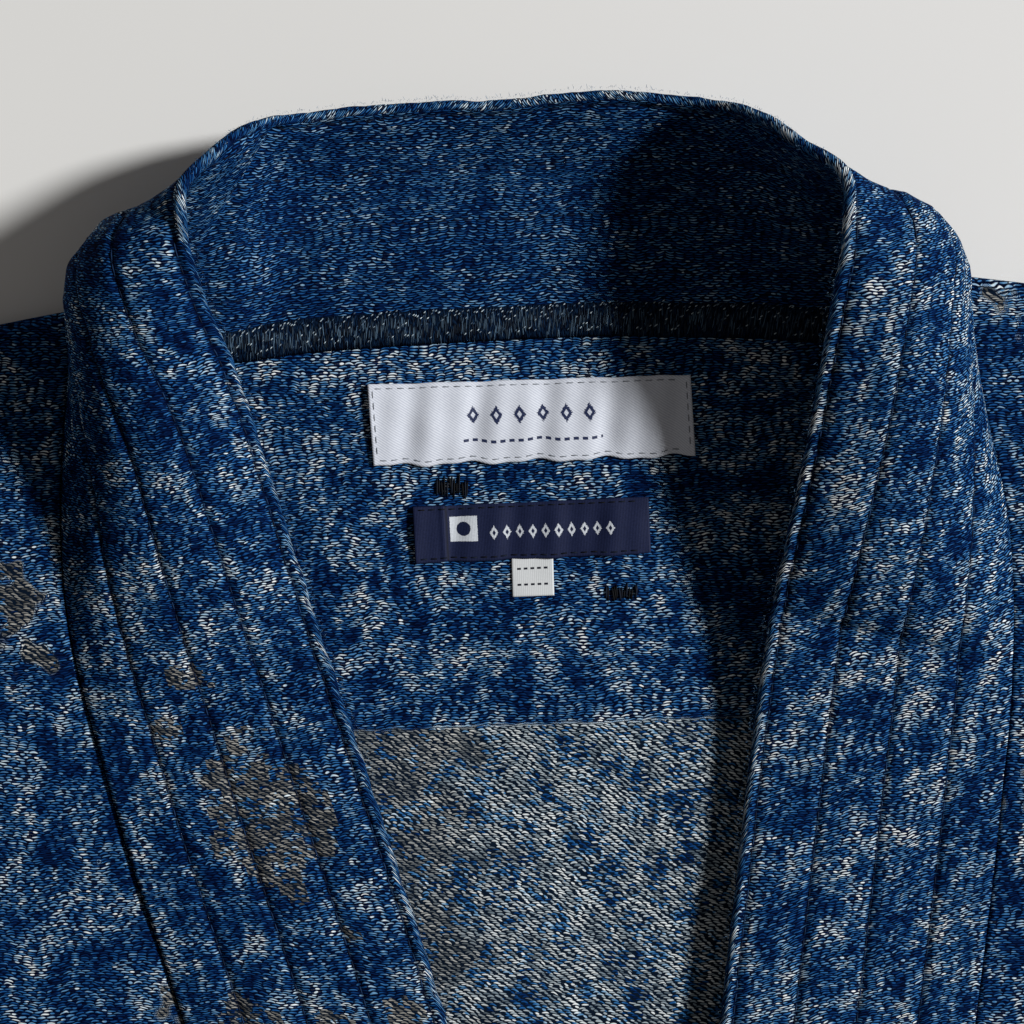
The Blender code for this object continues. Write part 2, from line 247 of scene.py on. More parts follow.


# Colour and height of the cloth: across runs along the floats, along from row to row. twill
# and warm say where the two other weaves show; the painted shade argument darkens the stitched
# grooves; even calms the mottling and thins the floats.
def weave(f, across, along, twill=0.0, warm=0.0, tone=0.0, paintedShade=0.0, even=0.0):
    look = jacquard
    place = f.join(across, along)
    wander = f.clouds(place, 0.06, 1.0) * 3.0 + f.clouds(place, 0.36, 1.0) * 0.8
    rows = (along + wander) / look["rowPitch"]
    line = rows.floor()
    loose = f.chance(f.join(line, 3.7))
    shift = f.pick(twill, line * 0.5 + loose * 0.6, line * look["twillShift"] + loose * 0.28)
    length = f.pick(twill, look["floatLength"], look["twillLength"])
    cells = across / length + shift
    lot, lotB, lotC = f.chances(f.join(cells.floor(), line))
    dot = lotB.over(look["dotShare"])
    # each float fills its own share of the cell, and a dot only half of it
    spare = dot * 0.9 + 0.10
    run = cells.part() * (1.0 + spare) - spare * lotC
    lens = (run * (1.0 - run) * 4.0).most(0.0)
    arch = (1.0 - dot) * look["arch"] * (lotC + 0.3)
    slant = (run - 0.5) * look["twillSlant"] * twill
    away = (rows.part() - 0.5 - (lens - 0.6) * arch + slant).size()
    halfWidth = f.pick(twill, f.pick(even, look["halfWidth"], look["evenWidth"]), look["twillWidth"])
    inside = lens ** 0.5 * halfWidth * (lotB * 0.35 + 0.72) - away
    cover = inside.step(-0.07, 0.07)
    core = inside.step(-0.03, 0.16)

    patches = f.clouds(f.join(across * 0.9, along), 0.075, 2.0, 0.55).step(0.40, 0.60)
    blocks = f.clouds(f.join(across, along * 0.75), 0.21, 2.0, 0.6).step(0.36, 0.64)
    bars = f.clouds(f.join(across * 1.5, along * 0.30), 0.24, 1.0).step(0.40, 0.64)
    light = patches * 0.24 + blocks * 0.26 + bars * 0.12
    light = f.pick(even, light, light * 0.40 + 0.19) + tone
    value = light + look["lightness"] + (lot - 0.5) * look["lotSpread"] + dot * 0.10
    thread = f.ramp(value, look["threads"])
    bluish = lotC * 0.5 + f.clouds(place, 0.13, 2.0, 0.6) - warm * 0.13
    bluish = bluish.over(look["bluishAbove"])
    twillThread = f.ramp(lot * 0.62 + light * 0.60 + 0.14, look["twillThreads"])
    warmThread = f.ramp(lot * 0.60 + light * 0.45 + 0.10, look["warmThreads"])
    twillThread = f.blend(bluish, f.blend(warm, twillThread, warmThread), thread)
    thread = f.blend(twill, thread, twillThread)
    # painted shade darkens the rim of each rounded float
    thread = f.blend(core, f.dimmed(thread, look["rimShade"]), thread)
    streaks = f.clouds(f.join(across * 0.6, along * 2.6), 0.8, 1.0).step(0.42, 0.72)
    ground = f.blend(streaks, look["ground"], look["groundLight"])
    ground = f.blend(twill, ground, look["twillGround"])
    colour = f.blend(cover, ground, thread)
    # painted shade: the stitched grooves are drawn towards the dark ground colour
    colour = f.blend(paintedShade, colour, look["ground"])
    return colour, cover * 0.4 + core * 0.6


def clothFinish(f, colour, height):
    return f.wear(colour, 0.80, 0.02, height, 0.00026, 0.55)


# Sheets: a bmesh grid laid over a table of points

# A sheet of quads over a grid of points in mm, with its cloth coordinates as a UV map. closed
# welds what meets; ring cuts the grid after each so many rows.
def gridPiece(name, points, cloth, material, closed=False, ring=0):
    rows, columns = points.shape[:2]
    model = bmesh.new()
    bmesh.ops.create_grid(model, x_segments=columns - 1, y_segments=rows - 1, size=1.0)
    uvLayer = model.loops.layers.uv.new("cloth")
    places = row(points)
    between = []
    for vertex in model.verts:
        j = round((vertex.co.x + 1) / 2 * (columns - 1))
        i = round((vertex.co.y + 1) / 2 * (rows - 1))
        vertex.index = i * columns + j
    for face in model.faces:
        low = min(vertex.index for vertex in face.verts) // columns
        if ring and low % ring == ring - 1:
            between.append(face)
    for vertex in model.verts:
        i, j = divmod(vertex.index, columns)
        vertex.co = places[i, j]
        for loop in vertex.link_loops:
            loop[uvLayer].uv = cloth[i, j]
    if ring:
        bmesh.ops.delete(model, geom=between, context="FACES_ONLY")
    if closed:
        bmesh.ops.remove_doubles(model, verts=model.verts, dist=0.000002)
        bmesh.ops.recalc_face_normals(model, faces=model.faces)
    for face in model.faces:
        face.smooth = True
    mesh = bpy.data.meshes.new(name)
    model.to_mesh(mesh)
    model.free()
    piece = bpy.data.objects.new(name, mesh)
    bpy.context.scene.collection.objects.link(piece)
    mesh.materials.append(material)
    return piece


# Round threads with pointed ends, joined in one mesh; paths is threads x points x 3.
def threadPiece(name, paths, radius, material, sides=6):
    count, steps = paths.shape[:2]
    run = np.gradient(paths, axis=1)
    side = unit(np.cross(run, (0.03, 0.02, 1.0)))
    lift = unit(np.cross(side, run))
    share = np.linspace(-1, 1, steps)
    thick = np.sqrt(np.clip(1 - np.abs(share) ** 5, 0, 1)) * radius
    angle = np.linspace(0, math.tau, sides + 1)
    angle[-1] = 0.0
    spin = np.cos(angle)[:, None] * side[:, :, None] + np.sin(angle)[:, None] * lift[:, :, None]
    points = paths[:, :, None] + thick[None, :, None, None] * spin
    points = points.reshape(count * steps, sides + 1, 3)
    dice = random.Random(name)
    lots = [dice.random() for _ in range(count)]        # each thread's own shade
    cloth = np.zeros((count * steps, sides + 1, 2))
    cloth[..., 0] = np.repeat(lots, steps)[:, None]
    cloth[..., 1] = np.tile(share, count)[:, None]
    return gridPiece(name, points, cloth, material, closed=True, ring=steps)


def unit(vectors):
    length = np.linalg.norm(vectors, axis=-1, keepdims=True)
    return vectors / np.maximum(length, 1e-9)


def directions(points):
    step = unit(np.diff(points, axis=0))
    first = 1.5 * step[:1] - 0.5 * step[1:2]
    last = 1.5 * step[-1:] - 0.5 * step[-2:-1]
    return unit(np.concatenate((first, step[1:] + step[:-1], last)))


def sheetNormals(points):
    down = directions(points)
    across = np.swapaxes(directions(np.swapaxes(points, 0, 1)), 0, 1)
    return unit(np.cross(down, across))


def smoothStep(value):
    value = np.clip(value, 0.0, 1.0)
    return value * value * (3 - 2 * value)


# Smooth uneven waves between -1 and 1 over a table of places.
def ripple(x, y, seed, size):
    dice = random.Random(seed)
    total = 0.0
    for _ in range(7):
        angle = dice.uniform(0, math.tau)
        pace = math.tau / (size * dice.uniform(0.6, 1.7))
        start = dice.uniform(0, math.tau)
        total = total + np.sin(pace * (x * math.cos(angle) + y * math.sin(angle)) + start)
    return total / 4.0


# Collar band: one doubled strip from the left hem round the neck to the right hem

band = dict(
    width=59.6,
    half=1.5,
    restZ=1.6,
    restSoftness=0.8,
    rows=(3.0, 17.3, 31.8, 46.3),     # topstitching, mm in from the free edge
    grooveDepth=0.80,
    grooveWidth=0.85,
    pucker=0.20,                      # height of the puckers along the stitching
    stitch=2.3,
    stitchPitch=3.0,
    stitchRadius=0.17,
    innerReach=260.0,                 # stitches show on the inner face up to here
    fineLength=330.0,                 # mm each side of the back that is meshed finely
    edgeWaves=((0.30, 9, 13.0), (0.16, 10, 5.0)),    # height, seed and size, mm
    rowLean=0.404,                    # slope of the rows against the front bands
    turnLength=140.0,                 # mm each side of the back that turn round the neck
)

bendSteps = 8          # faces round every folded edge
bend = [math.pi * k / bendSteps for k in range(1, bendSteps + 1)]

# Stations from the left hem round to the right: the seam line and the free edge.
bandStations = (
    (-51, -700, 3.6, 8, -700, 4.2),
    (-51.5, -366, 3.9, 7.5, -366, 4.8),
    (-54, -312, 4.1, 4.5, -306, 5.2),
    (-60.5, -265, 4.3, -3, -255, 5.6),
    (-70, -222, 4.6, -13, -206, 6.2),
    (-81, -176, 4.8, -24, -159, 6.8),
    (-99.5, -110, 5.2, -45, -84, 7.4),
    (-105, -86, 5.4, -51.5, -61, 9),
    (-109, -63, 5.6, -57.5, -38, 13.2),
    (-109.5, -41, 6.0, -62.5, -18, 19),
    (-108, -21, 6.6, -66.5, -2.5, 27),
    (-105.5, -3, 7.2, -71.2, 12, 35),
    (-103, 9, 6.5, -74.2, 25.5, 42),
    (-95, 3, 4.6, -74.6, 36, 43.5),
    (-82, 0, 3.2, -69, 44, 37.5),
    (-69, 0, 2.4, -61, 51.5, 29.5),
    (-53, 1.5, 2.0, -49.5, 54.8, 20),
    (-29, 2.5, 2.0, -26, 56.9, 15),
    (0, 3, 2.0, 0, 57.3, 13),
    (20, 3, 2.0, 20.5, 58.3, 14),
    (44, 1.8, 2.0, 44.3, 55, 18),
    (60, 0.8, 2.2, 55.5, 50.8, 28),
    (75, -0.5, 2.8, 65.4, 41.8, 38),
    (89, 1, 3.8, 74, 33.5, 45.5),
    (103, 9, 6.5, 73, 19, 45.5),
    (105.5, -3, 7.2, 70.8, 7, 41),
    (109, -21, 6.6, 68, -10, 33.5),
    (112.5, -41, 6.0, 64.4, -29, 26.5),
    (114, -63, 5.6, 60, -50, 18.5),
    (113.5, -86, 5.4, 55.7, -70, 11.6),
    (110.5, -110, 5.2, 51.8, -93.5, 8.6),
    (100.5, -174, 4.9, 41.3, -162, 7.8),
    (93, -218, 4.6, 34, -206, 7.2),
    (84, -266, 4.3, 25, -256, 6.5),
    (77, -313, 4.1, 18, -307, 5.8),
    (74, -368, 3.9, 14.8, -366, 5.0),
    (73.5, -700, 3.6, 14.3, -700, 4.2),
)
railSteps = 40         # points to each span between stations
leftNeck, backMark, rightNeck = (railSteps * station for station in (12, 18, 24))


# A smooth curve through the stations, as many points to each span.
def smoothRails(stations, perSpan):
    table = np.array(stations, dtype=float)
    length = np.concatenate(([0.0], np.cumsum(np.linalg.norm(np.diff(table, axis=0), axis=1))))
    slope = np.gradient(table, length, axis=0)
    t = (np.arange(perSpan) / perSpan)[:, None]
    spans = []
    for k in range(len(table) - 1):
        reach = length[k + 1] - length[k]
        spans.append(
            (1 + 2 * t) * (1 - t) ** 2 * table[k]
            + t * (1 - t) ** 2 * reach * slope[k]
            + t * t * (3 - 2 * t) * table[k + 1]
            + t * t * (t - 1) * reach * slope[k + 1]
        )
    return np.concatenate((*spans, table[-1:]))


rails = smoothRails(bandStations, railSteps)
railMiddle = (rails[:, :3] + rails[:, 3:]) / 2
railSpans = np.linalg.norm(np.diff(railMiddle, axis=0), axis=1)
railLength = np.concatenate(([0.0], np.cumsum(railSpans)))
railLength = railLength - railLength[backMark]


# Seam and edge points at distances along the band from the middle of the back.
def railsAt(lengths):
    found = [np.interp(lengths, railLength, rails[:, k]) for k in range(6)]
    both = np.stack(found, axis=1)
    return both[:, :3], both[:, 3:]


# Middle surface of the doubled band; across is mm from the seam.
def bandMiddle(lengths, across, wavy=True):
    seam, edge = railsAt(lengths)
    chord = edge - seam
    width = np.linalg.norm(chord, axis=1, keepdims=True)
    run = directions(seam) + directions(edge)
    outward = unit(np.cross(unit(chord), run))
    slack = np.maximum(band["width"] / width - 1, 0.0006)
    bow = width * np.sqrt(0.375 * slack)
    share = (np.asarray(across) / band["width"])[None, :, None]
    points = seam[:, None] + share * chord[:, None]
    points = points + (4 * share * (1 - share)) * (bow * outward)[:, None]
    if wavy:
        wave = sum(h * ripple(lengths, 0 * lengths, *kind) for h, *kind in band["edgeWaves"])
        points = points + share ** 8 * (wave[:, None] * unit(chord))[:, None]
    above = points[..., 2] - band["restZ"]
    points[..., 2] = band["restZ"] + (above + np.sqrt(above ** 2 + band["restSoftness"] ** 2)) / 2
    return points


def bandLengths():
    fine = band["fineLength"]
    low, high = railLength[0], railLength[-1]
    return np.concatenate((
        np.linspace(low, -fine, 90, endpoint=False),
        np.linspace(-fine, fine, 500, endpoint=False),
        np.linspace(fine, high, 91),
    ))


# Places across the outer face, with more of them at each row of stitching.
def bandAcross():
    edge = band["width"] - band["half"]
    places = list(np.linspace(0, edge, 46))
    for inset in band["rows"]:
        middle = band["width"] - inset
        places += [middle - 0.9, middle - 0.35, middle, middle + 0.35, middle + 0.9]
    places = sorted(set(round(float(p), 2) for p in places if 0 <= p <= edge))
    kept = [places[0]]
    for place in places[1:]:
        if place - kept[-1] > 0.3:
            kept.append(place)
    kept[-1] = edge
    return np.array(kept)


# Grooves of the topstitching, the puckers along them and soft waves, in mm.
def bandRelief(across, lengths, inside):
    inset = band["width"] - across
    relief = 0.20 * ripple(across * 1.2, lengths * 0.8, 5 + inside, 17.0)
    for k, middle in enumerate(band["rows"]):
        depth = band["grooveDepth"] * (0.9 if not inside else 0.2 if k else 0.55)
        away = inset - middle
        relief = relief - depth * np.exp(-(away / band["grooveWidth"]) ** 2)
        wave = np.sin(math.tau * lengths / (5.3 + 0.7 * k) + 2.1 * np.sin(lengths / 9.0 + k))
        relief = relief + band["pucker"] * wave * np.exp(-(away / 3.6) ** 2) * (0.6 if inside else 1.0)
    if inside:
        # a soft crease inside the collar, left of the middle
        crease = lengths + 64 + (46.5 - across) * 0.55
        reach = smoothStep((across - 27) / 7) * smoothStep((61 - across) / 5)
        strip = smoothStep(-crease / 8) * smoothStep((crease + 22) / 9)
        relief = relief + reach * (1.3 * strip - 1.9 * np.exp(-(crease / 1.6) ** 2))
    return relief


# Unit vectors from the band's middle out through its outer face.
def bandNormals(middle):
    return bandTurn * sheetNormals(middle)


# Points just above one face of the band.
def bandFace(lengths, across, inside, lift=0.0):
    middle = bandMiddle(lengths, np.array((across - 0.6, across, across + 0.6)))
    side = -1 if inside else 1
    normal = side * bandNormals(middle)[:, 1]
    height = band["half"] + bandRelief(np.full_like(lengths, across), lengths, inside) + lift
    return middle[:, 1] + normal * height[:, None]


# True distances along each line of a face, from the middle of the back; beyond the turn at
# the neck all lines run on alike.
def arcLengths(points, lengths):
    steps = np.linalg.norm(np.diff(points, axis=0), axis=2)
    beyond = np.abs(lengths[1:]) > band["turnLength"]
    steps = np.where(beyond[:, None], np.diff(lengths)[:, None], steps)
    arcs = np.concatenate((np.zeros_like(steps[:1]), np.cumsum(steps, axis=0)))
    return arcs - np.array([np.interp(0.0, lengths, line) for line in arcs.T])


bandTurn = 1.0
sample = bandMiddle(np.array((-1.0, 0.0, 1.0)), np.array((2.0, 3.0, 4.0)))
if sheetNormals(sample)[1, 1, 2] > 0:
    bandTurn = -1.0


# Topstitching along the rows, on the outer face and on the inner face near the neck.
def bandStitches(material):
    dice = random.Random(31)
    paths = []
    share = np.array((-0.5, -0.36, 0.0, 0.36, 0.5))
    sink = np.array((-0.22, 0.02, 0.12, 0.02, -0.22))
    for inside in (0, 1):
        end = band["innerReach"] if inside else min(-railLength[0], railLength[-1]) - 4
        for inset in band["rows"]:
            middles = np.arange(-end, end, band["stitchPitch"])
            middles = middles + np.array([dice.uniform(-0.15, 0.15) for _ in middles])
            lengths = (middles[:, None] + share * band["stitch"]).ravel()
            face = bandFace(lengths, band["width"] - inset, inside)
            up = bandFace(lengths, band["width"] - inset, inside, 1.0) - face
            face = face + up * np.tile(sink, len(middles))[:, None]
            paths.append(face.reshape(len(middles), len(share), 3))
    return threadPiece("bandStitches", np.concatenate(paths), band["stitchRadius"], material, sides=5)


def makeBand(material):
    lengths, across = bandLengths(), bandAcross()
    half = band["half"]
    middle = bandMiddle(lengths, across)
    normal = bandNormals(middle)
    out = unit(middle[:, -1] - middle[:, -2])
    s, a = np.meshgrid(lengths, across, indexing="ij")
    fade = smoothStep((band["width"] - half - a) / 1.2)[..., None]
    outer = middle + normal * (half + bandRelief(a, s, 0)[..., None] * fade)
    inner = middle - normal * (half + bandRelief(a, s, 1)[..., None] * fade)
    fold = [
        middle[:, -1] + half * (math.cos(t) * normal[:, -1] + math.sin(t) * out)
        for t in bend[:-1]
    ]
    foldCloth = [across[-1] + half * t for t in bend[:-1]]
    rim = outer[:, :1]
    points = np.concatenate((outer, np.stack(fold, axis=1), inner[:, ::-1], rim), axis=1)
    innerCloth = across[-1] + half * math.pi + (across[-1] - across[::-1])
    q = np.concatenate((across, foldCloth, innerCloth, [innerCloth[-1] + 2 * half]))
    calm = bandMiddle(lengths, across, wavy=False)
    outerArc = arcLengths(calm + bandNormals(calm) * half, lengths)
    innerArc = arcLengths(calm - bandNormals(calm) * half, lengths)[:, ::-1]
    foldShare = np.arange(1, bendSteps) / bendSteps
    foldArc = outerArc[:, -1:] + foldShare * (innerArc[:, :1] - outerArc[:, -1:])
    arcs = np.concatenate((outerArc, foldArc, innerArc, outerArc[:, :1]), axis=1)
    cloth = np.stack((np.broadcast_to(q, arcs.shape), arcs), axis=-1)
    return gridPiece("collarBand", points, cloth, material, closed=True)


# Lighter woven patches on the left front: middle and half sizes across the band and along
# the rows, in mm.
bandPatches = (
    dict(across=33.0, along=212.0, wide=13.5, long=20.0),
    dict(across=14.0, along=266.0, wide=7.5, long=10.0),
    dict(across=35.0, along=268.0, wide=6.5, long=9.0),
    dict(across=50.0, along=264.0, wide=5.0, long=10.0),
    dict(across=43.0, along=241.0, wide=2.6, long=1.8),
    dict(across=25.0, along=176.0, wide=5.5, long=3.6),
    dict(across=17.0, along=188.0, wide=4.0, long=3.0),
    dict(across=28.0, along=380.0, wide=13.0, long=18.0),
)


# How far the rows of the outer face run on from the seam to the free edge, so that they lie
# level on both fronts: a curve in the distance across, for the left and the right.
def bandSkew():
    end = band["turnLength"]
    lengths = np.arange(-end, end + 0.5, 0.5)
    across = np.linspace(0, band["width"], 25)
    middle = bandMiddle(lengths, across, wavy=False)
    arcs = arcLengths(middle + bandNormals(middle) * band["half"], lengths)
    extra = [side * arcs[k] - end for side, k in ((-1, 0), (1, -1))]
    return [np.polyfit(across, band["rowLean"] * across + more, 4) for more in extra]


def bandFinish():
    f = Finish("bandJacquard")
    q, s = f.x, f.y
    far = s.size()
    inside = q.over(band["width"] + 3.0)
    left = 1.0 - s.over(0.0)
    curves = []
    for first, *others in bandSkew():
        curve = float(first)
        for other in others:
            curve = curve * q + float(other)
        curves.append(curve)
    outAlong = far - f.pick(left, curves[1], curves[0])
    across = f.pick(inside, q * 1.08 + left * 140.0, s)
    along = f.pick(inside, 0.0 - outAlong, q)
    warm = None
    u = (q / 1.5).floor() * 1.5
    v = (outAlong / 0.6).floor() * 0.6
    edge = (f.clouds(f.join(u, v), 0.14, 2.0, 0.6) - 0.5) * 2.6
    for patch in bandPatches:
        a = (u - patch["across"]) / patch["wide"]
        b = (v - patch["along"]) / patch["long"]
        mask = (1.0 - a * a - b * b + edge).over(0.1)
        warm = mask if warm is None else warm.most(mask)
    holes = f.clouds(f.join(u, v), 0.26, 2.0).over(0.63)
    warm = warm * left * (1.0 - inside) * (1.0 - holes)
    inset = (band["width"] - q).size()
    # painted shade along each row of topstitching, darkening the cloth in its groove
    paintedShade = None
    for middle in band["rows"]:
        line = (1.0 - ((inset - middle) / 0.80).size()).step(0.0, 0.9) * 0.62
        paintedShade = line if paintedShade is None else paintedShade.most(line)
    outTone = f.pick(left, 0.04, (far - 130.0).step(0.0, 60.0) * 0.08 - 0.07)
    # the last term is a painted highlight on the rolled free edge, within 2.6 mm of it
    tone = f.pick(inside, outTone, -0.06) + (2.6 - inset).step(0.0, 1.0) * 0.06
    colour, height = weave(f, across, along, warm, warm, tone, paintedShade * (1.0 - inside), inside)
    return clothFinish(f, colour, height)


# Back panel

back = dict(
    half=0.75,
    patchTop=-91.0,        # where the lighter weave begins
    neckLift=0.9,
    liftRun=14.0,
)
shoulder = dict(neckX=103.0, neckY=9.0, slope=math.tan(math.radians(7.5)), sideX=288.0)


def shoulderY(x):
    return shoulder["neckY"] - (np.abs(x) - shoulder["neckX"]) * shoulder["slope"]


# Places from a few stops: (from, to, how many).
def spread(stops):
    runs = [np.linspace(a, b, count, endpoint=False) for a, b, count in stops]
    return np.concatenate((*runs, [stops[-1][1]]))


def neckSeamY(x):
    marks = slice(leftNeck, rightNeck + 1)
    order = np.argsort(rails[marks, 0])
    return np.interp(x, rails[marks, 0][order], rails[marks, 1][order])


# Height of the middle of the back's cloth; top is the neck or shoulder edge there.
def backLevel(x, y, top):
    lift = 1 - smoothStep((np.abs(x) - 60) / 25)
    rise = lift * back["neckLift"] * smoothStep((y - top + back["liftRun"]) / back["liftRun"])
    bare = smoothStep((150 - np.abs(x)) / 60) * smoothStep((y + 320) / 100)
    calm = bare * smoothStep((top - y - 2) / 12)
    soft = np.maximum(0.75 * (ripple(x, y, 11, 46.0) + 0.6), 0)
    return back["half"] + rise + np.maximum(calm * (soft + 0.15 * ripple(x, y, 12, 15.0)), 0)


def makeBack(material):
    side = shoulder["sideX"] - 0.3
    x = spread(((-side, -110, 26), (-110, 110, 150), (110, side, 26)))
    top = np.where(np.abs(x) > shoulder["neckX"] - 1, shoulderY(x) - 0.3, neckSeamY(x) - 0.7)
    share = 1 - spread(((0.0, 0.25, 125), (0.25, 1.0, 60)))
    y = hemY + share[:, None] * (top[None, :] - hemY)
    xs = np.broadcast_to(x, y.shape)
    points = np.stack((xs, y, backLevel(xs, y, top)), axis=-1)
    cloth = np.stack((xs, y), axis=-1)
    piece = gridPiece("backPanel", points, cloth, material)
    thicken(piece, 2 * back["half"] * mm)
    return piece


# Overlocked seam allowance over the back neck seam, pressed up against the band

overlock = dict(
    below=1.7,             # mm on the back, below the seam
    above=6.0,             # and up the band's inner face
    rise=1.55,
    threadRadius=0.11,
    knotRadius=0.13,
    threadPitch=0.16,
    knotPitch=0.36,
    knotLevels=(0.86, 0.97, 0.93, 0.60, 0.25),    # where beads lie, as shares of the ridge
)


# Points on the ridge: share is 0 at its edge on the back and 1 at its edge on the band.
def overlockPoints(lengths, share, lift=0.0):
    seam, _ = railsAt(lengths)
    high = bandFace(lengths, overlock["above"], 1)
    away = unit((seam - high) * (1, 1, 0))
    low = seam + away * overlock["below"]
    low[:, 2] = backLevel(low[:, 0], low[:, 1], seam[:, 1]) + back["half"]
    up = unit(bandFace(lengths, 2.0, 1, 1.0) - bandFace(lengths, 2.0, 1))
    share = np.asarray(share)
    flat = low + share[:, None] * (high - low)
    wave = 1 + 0.30 * np.sin(lengths / 3.1 + 2 * np.sin(lengths / 11.0))
    bulge = overlock["rise"] * wave * np.sin(math.pi * np.clip(share, 0, 1) ** 0.6)
    return flat + up * (bulge + lift)[:, None]


def overlockRidge(material):
    start, end = railLength[leftNeck] + 2, railLength[rightNeck] - 2
    lengths = np.arange(start, end, 0.8)
    shares = np.linspace(0, 1, 15)
    points = [overlockPoints(lengths, np.full_like(lengths, share)) for share in shares]
    cloth = np.meshgrid(shares * (overlock["below"] + overlock["above"]), lengths, indexing="xy")
    piece = gridPiece("neckOverlock", np.stack(points, axis=1), np.stack(cloth, axis=-1), material)
    thicken(piece, 0.5 * mm)
    return piece


# Where threads start along the ridge.
def overlockFeet(pitch):
    return np.arange(railLength[leftNeck] + 4, railLength[rightNeck] - 4, pitch)


# Points for threads that lie over the ridge, which is worked out in order along it.
def overlockPaths(lengths, shares, lift):
    order = np.argsort(lengths.ravel())
    points = np.empty((lengths.size, 3))
    points[order] = overlockPoints(lengths.ravel()[order], shares.ravel()[order], lift)
    return points.reshape(*lengths.shape, 3)


# Short lengths of thread over the ridge, in two loose layers.
def overlockThreads(material):
    dice = random.Random(47)
    share = np.linspace(0.0, 1.0, 6)
    lengths, shares = [], []
    for foot in overlockFeet(overlock["threadPitch"]):
        foot = foot + dice.uniform(-0.15, 0.15)
        low = dice.uniform(-0.08, 0.60)
        reach = dice.uniform(0.22, 0.50)
        slant = dice.uniform(-0.6, 1.6) * reach
        lengths.append(foot + slant * (share - 0.5))
        shares.append(np.minimum(low + reach * share, 1.0))
    paths = overlockPaths(np.array(lengths), np.array(shares), 0.30)
    return threadPiece("overlockThreads", paths, overlock["threadRadius"], material, sides=4)


# The looped edge of the overlocking: short bright beads along the top of the ridge.
def overlockKnots(material):
    dice = random.Random(53)
    feet = overlockFeet(overlock["knotPitch"])
    feet = feet + np.array([dice.uniform(-0.2, 0.2) for _ in feet])
    levels = overlock["knotLevels"]
    heights = np.array([dice.choice(levels) + dice.uniform(-0.12, 0.10) for _ in feet])
    along = np.array((-0.30, -0.15, 0.0, 0.15, 0.30))
    shares = heights[:, None] + along * 0.10
    paths = overlockPaths(feet[:, None] + along, shares, 0.40)
    return threadPiece("overlockKnots", paths, overlock["knotRadius"], material, sides=5)


# Sewing thread: each thread takes its own shade, with a fine twist.
def threadFinish(name, low, high):
    f = Finish(name)
    twist = ((f.y * 14.0 + f.x * 40.0).maths("SINE") * 0.5 + 0.5) * 0.3 + 0.7
    colour = f.blend(f.x ** 2.0, low, high)
    return f.wear(f.blend(twist, f.dimmed(colour, 0.45), colour), 0.7, 0.15)


def overlockFinish():
    f = Finish("overlockBase")
    grain = f.clouds(f.join(f.x * 0.5, f.y * 2.0), 1.6, 2.0).step(0.35, 0.75)
    colour = f.blend(grain, (0.0006, 0.0016, 0.0060), (0.0060, 0.0200, 0.0520))
    return clothFinish(f, colour, grain)


# A wall of cloth about the sheet, which stays in its middle.
def thicken(piece, thickness):
    wall = piece.modifiers.new("wall", "SOLIDIFY")
    wall.thickness = thickness
    wall.offset = 0.0
    wall.use_quality_normals = True


def backFinish():
    f = Finish("backJacquard")
    place = f.join(f.x, f.y)
    edge = f.clouds(place, 0.35, 1.0) * 1.6
    twill = (back["patchTop"] + edge - f.y).step(0.3, 1.1)
    warm = ((f.clouds(place, 0.06, 2.0) - 0.5) * 90.0 - 18.0 - f.x).step(-14.0, 14.0) * 0.75
    tone = (f.y + 60.0).step(0.0, 50.0) * 0.05 + 0.01
    colour, height = weave(f, f.x, f.y, twill, warm, tone)
    return clothFinish(f, colour, height)


def plainFinish(name):
    f = Finish(name)
    warm = f.clouds(f.join(f.x, f.y), 0.030, 3.0, 0.65).step(0.64, 0.67)
    colour, height = weave(f, f.x, f.y, warm, warm)
    return clothFinish(f, colour, height)


# Upper layer: fronts and sleeves, with soft folds

upper = dict(
    quietZ=3.3,            # height of its middle where no fold lifts it
    half=0.75,             # half the cloth's thickness
    underarmY=-250.0,
    rows=150,
    columns=56,
    clear=0.35,            # gap at the band's seam, and more where the band rises
    clearRise=1.7,
    neckClear=0.9,
    armTuck=4.0,           # where a sleeve is sewn on, the edge lies flat inside it
    armReach=3.85,
    crowding=1.2,          # packs the columns towards the band
    bendReach=1.5,         # cloth taken up by a bend, mm a radian
    seamBlend=60.0,        # mm from the band's seam to the free height
)
# Folds run from a point to a point, with a half width and a height.
folds = (
    (-300, -222, -205, -95, 24, 2.9),
    (-262, -262, -170, -205, 22, 2.3),
    (-236, -330, -206, -640, 30, 2.7),
    (-128, -420, -140, -720, 26, 2.0),
    (-345, -75, -480, -150, 24, 2.8),
    (-390, -215, -560, -195, 22, 2.2),
    (-530, -90, -640, -130, 20, 2.5),
    (296, -214, 222, -82, 24, 2.9),
    (268, -270, 182, -232, 22, 2.4),
    (214, -350, 238, -660, 30, 2.8),
    (140, -470, 128, -720, 24, 1.8),
    (360, -92, 470, -168, 24, 2.9),
    (410, -200, 575, -222, 22, 2.1),
    (540, -110, 640, -118, 20, 2.4),
)


def foldHeight(x, y):
    total = np.zeros_like(x)
    for ax, ay, bx, by, halfWidth, height in folds:
        dx, dy = bx - ax, by - ay
        t = np.clip(((x - ax) * dx + (y - ay) * dy) / (dx * dx + dy * dy), 0, 1)
        away = (x - ax - t * dx) ** 2 + (y - ay - t * dy) ** 2
        total = total + 1.5 * height * np.exp(-away / (0.8 * halfWidth) ** 2)
    return total + 0.35 * np.maximum(ripple(x, y, 21, 60.0), 0) + 0.12 * ripple(x, y, 22, 21.0)


def turnedEdge(x, y, z, outward, angle):
    radius = (z - upper["half"]) / 2
    reach = radius * np.sin(angle)
    height = upper["half"] + radius + radius * np.cos(angle)
    return np.stack((x + outward[0] * reach, y + outward[1] * reach, height), axis=-1)


